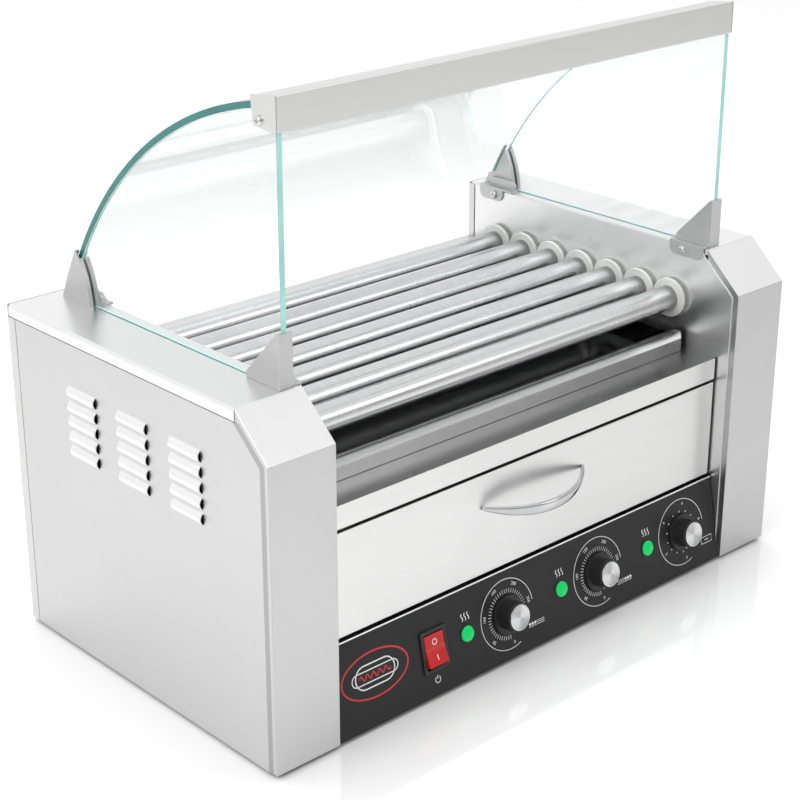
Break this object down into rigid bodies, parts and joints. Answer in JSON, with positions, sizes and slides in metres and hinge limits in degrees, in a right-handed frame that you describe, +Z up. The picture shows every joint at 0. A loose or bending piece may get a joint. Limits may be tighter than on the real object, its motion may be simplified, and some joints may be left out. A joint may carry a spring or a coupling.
{
  "type": "hot dog roller grill",
  "caption": "Counter-top roller grill: driven heated rollers between two steel side housings, drip tray, bun-warming drawer, slanted dial panel and curved glass guard",
  "frame": {"origin": "middle of the bounding box's underside, on the counter under the rubber feet", "axes": "+X to the right seen from the front, along the rollers and square to the glass ends; the front with the dials faces -Y; +Z up"},
  "size_m": [0.5862, 0.3413, 0.4974],
  "materials": {
    "satin_steel": "satin brushed stainless sheet",
    "polished_steel": "polished stainless tube",
    "chrome_plate": "bright chrome plate",
    "zinc_steel": "zinc-plated steel",
    "black_panel": "black printed panel face",
    "black_plastic": "black moulded plastic",
    "ptfe": "off-white heat-proof plastic",
    "glass": "clear toughened glass",
    "aluminium": "turned aluminium",
    "element": "heat-darkened sheath",
    "rubber": "moulded rubber",
    "green_lens": "green translucent lens",
    "red_rocker": "red rocker cap",
    "motor_paint": "grey enamel",
    "cream_plastic": "cream heat-proof plastic"
  },
  "bodies": {
    "frame": {"base_pan": "zinc_steel", "left_outer_panel": "satin_steel", "right_outer_panel": "satin_steel", "left_top_cover": "satin_steel", "right_top_cover": "satin_steel", "left_front_fascia": "satin_steel", "right_front_fascia": "satin_steel", "left_inner_wall": "satin_steel", "right_inner_wall": "satin_steel", "back_panel": "satin_steel", "cord_gland": "black_plastic", "feet": "rubber", "roller_seals": "ptfe", "heating_rods": "element", "rod_brackets": "zinc_steel", "gear_motor": "motor_paint", "motor_bracket": "zinc_steel", "drive_chain": "zinc_steel", "drip_shelf": "satin_steel", "drawer_runners": "zinc_steel", "warmer_element": "element", "control_panel": "black_panel", "pilot_lamps": "green_lens", "thermostats": "cream_plastic", "switch_housing": "black_plastic", "left_side_glass": "glass", "right_side_glass": "glass", "curved_glass": "glass", "top_rail": "satin_steel", "front_clamps": "satin_steel", "rear_clamps": "satin_steel", "guard_screws": "zinc_steel", "case_screws": "zinc_steel"},
    "roller_1_body": {"roller_1": "polished_steel", "sprocket_1": "zinc_steel"},
    "roller_2_body": {"roller_2": "polished_steel", "sprocket_2": "zinc_steel"},
    "roller_3_body": {"roller_3": "polished_steel", "sprocket_3": "zinc_steel"},
    "roller_4_body": {"roller_4": "polished_steel", "sprocket_4": "zinc_steel"},
    "roller_5_body": {"roller_5": "polished_steel", "sprocket_5": "zinc_steel"},
    "roller_6_body": {"roller_6": "polished_steel", "sprocket_6": "zinc_steel"},
    "roller_7_body": {"roller_7": "polished_steel", "sprocket_7": "zinc_steel"},
    "motor_output": {"motor_shaft": "zinc_steel", "motor_sprocket": "zinc_steel"},
    "tray_body": {"drip_tray": "satin_steel"},
    "drawer_body": {"drawer_box": "satin_steel", "drawer_front": "satin_steel", "drawer_handle": "chrome_plate"},
    "knob_front_body": {"knob_front": "black_plastic", "knob_cap_front": "aluminium"},
    "knob_back_body": {"knob_back": "black_plastic", "knob_cap_back": "aluminium"},
    "knob_warming_body": {"knob_warming": "black_plastic", "knob_cap_warming": "aluminium"},
    "rocker_body": {"switch_rocker": "red_rocker"}
  },
  "joints": [
    {"name": "roller_1_spin", "type": "hinge", "parent": "frame", "child": "roller_1_body", "pos_m": [0, -0.0887, 0.2352], "axis": [1, 0, 0], "continuous": true},
    {"name": "roller_2_spin", "type": "hinge", "parent": "frame", "child": "roller_2_body", "pos_m": [0, -0.053, 0.2352], "axis": [1, 0, 0], "continuous": true},
    {"name": "roller_3_spin", "type": "hinge", "parent": "frame", "child": "roller_3_body", "pos_m": [0, -0.0173, 0.2352], "axis": [1, 0, 0], "continuous": true},
    {"name": "roller_4_spin", "type": "hinge", "parent": "frame", "child": "roller_4_body", "pos_m": [0, 0.0184, 0.2352], "axis": [1, 0, 0], "continuous": true},
    {"name": "roller_5_spin", "type": "hinge", "parent": "frame", "child": "roller_5_body", "pos_m": [0, 0.0541, 0.2352], "axis": [1, 0, 0], "continuous": true},
    {"name": "roller_6_spin", "type": "hinge", "parent": "frame", "child": "roller_6_body", "pos_m": [0, 0.0898, 0.2352], "axis": [1, 0, 0], "continuous": true},
    {"name": "roller_7_spin", "type": "hinge", "parent": "frame", "child": "roller_7_body", "pos_m": [0, 0.1255, 0.2352], "axis": [1, 0, 0], "continuous": true},
    {"name": "motor_spin", "type": "hinge", "parent": "frame", "child": "motor_output", "pos_m": [0.237, 0.0184, 0.168], "axis": [1, 0, 0], "continuous": true},
    {"name": "tray_slide", "type": "slide", "parent": "frame", "child": "tray_body", "axis": [0, -1, 0], "range_m": [0, 0.2]},
    {"name": "drawer_slide", "type": "slide", "parent": "frame", "child": "drawer_body", "axis": [0, -1, 0], "range_m": [0, 0.22]},
    {"name": "knob_front_turn", "type": "hinge", "parent": "frame", "child": "knob_front_body", "pos_m": [-0.04, -0.15959, 0.04286], "axis": [0, 0.9796, -0.2011], "range_deg": [0, 270]},
    {"name": "knob_back_turn", "type": "hinge", "parent": "frame", "child": "knob_back_body", "pos_m": [0.07, -0.15959, 0.04286], "axis": [0, 0.9796, -0.2011], "range_deg": [0, 270]},
    {"name": "knob_warming_turn", "type": "hinge", "parent": "frame", "child": "knob_warming_body", "pos_m": [0.18, -0.15959, 0.04286], "axis": [0, 0.9796, -0.2011], "range_deg": [0, 270]},
    {"name": "rocker_tip", "type": "hinge", "parent": "frame", "child": "rocker_body", "pos_m": [-0.1225, -0.15057, 0.04101], "axis": [1, 0, 0], "range_deg": [0, 16]}
  ],
  "couplings": [
    {"joint": "roller_2_spin", "follows": "roller_1_spin", "ratio": 1},
    {"joint": "roller_3_spin", "follows": "roller_1_spin", "ratio": 1},
    {"joint": "roller_4_spin", "follows": "roller_1_spin", "ratio": 1},
    {"joint": "roller_5_spin", "follows": "roller_1_spin", "ratio": 1},
    {"joint": "roller_6_spin", "follows": "roller_1_spin", "ratio": 1},
    {"joint": "roller_7_spin", "follows": "roller_1_spin", "ratio": 1},
    {"joint": "motor_spin", "follows": "roller_1_spin", "ratio": 1.4}
  ]
}
